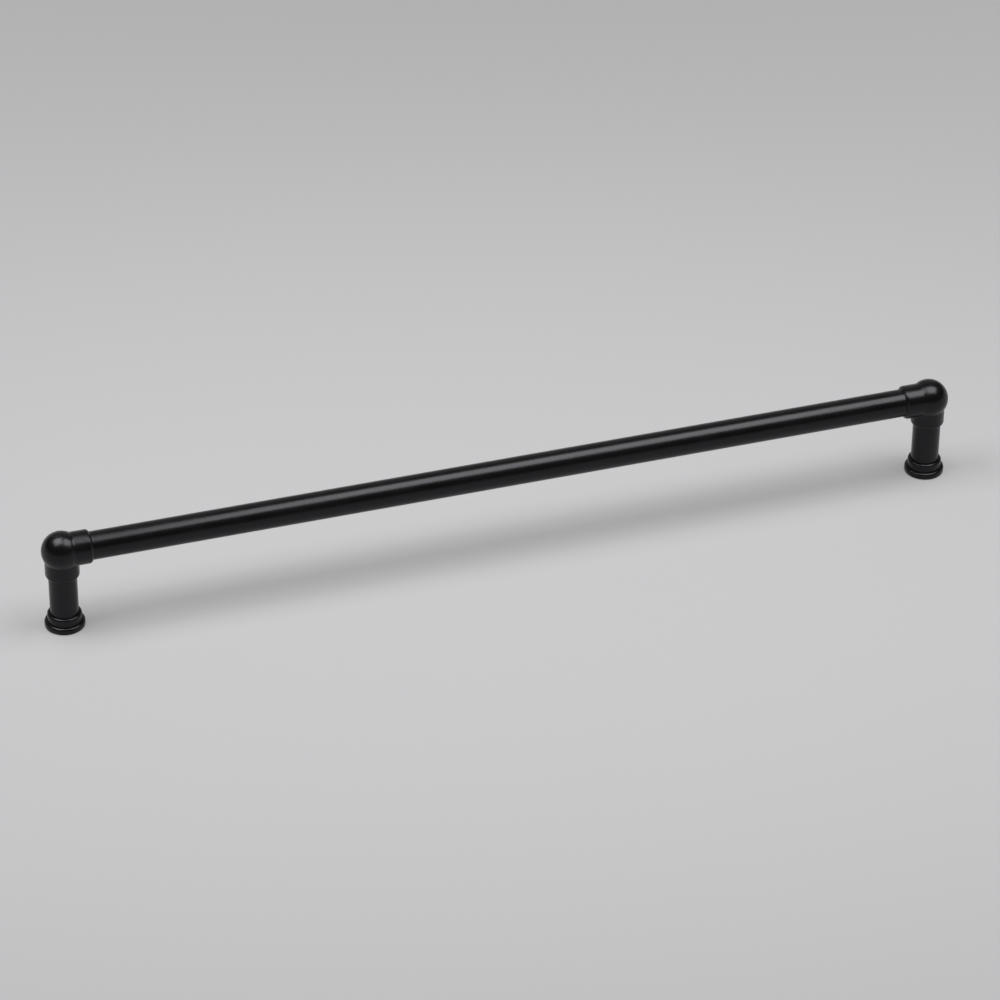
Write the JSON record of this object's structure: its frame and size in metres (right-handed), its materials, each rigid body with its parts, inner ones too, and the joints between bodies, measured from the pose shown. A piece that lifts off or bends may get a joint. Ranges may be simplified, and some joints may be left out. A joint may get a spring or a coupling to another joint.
{
  "type": "pipe handle",
  "caption": "Bar pull in the style of pipework: a straight round tube between two ball elbows, on round posts with stepped feet, tapped for screws from behind the door.",
  "frame": {"origin": "half way between the two fixing holes, on the plane of the feet that meets the door", "axes": "+X along the bar, +Z away from the door, towards the bar"},
  "size_m": [0.3342, 0.0142, 0.038],
  "materials": {
    "black_coat": "fine matt black coating with a soft sheen",
    "stud_steel": "plain zinc plated steel thread"
  },
  "bodies": {
    "root": {"bar": "black_coat", "elbow_left": "black_coat", "elbow_right": "black_coat", "post_left": "black_coat", "post_right": "black_coat", "foot_left": "black_coat", "foot_right": "black_coat", "joining_studs": "stud_steel"}
  },
  "joints": []
}
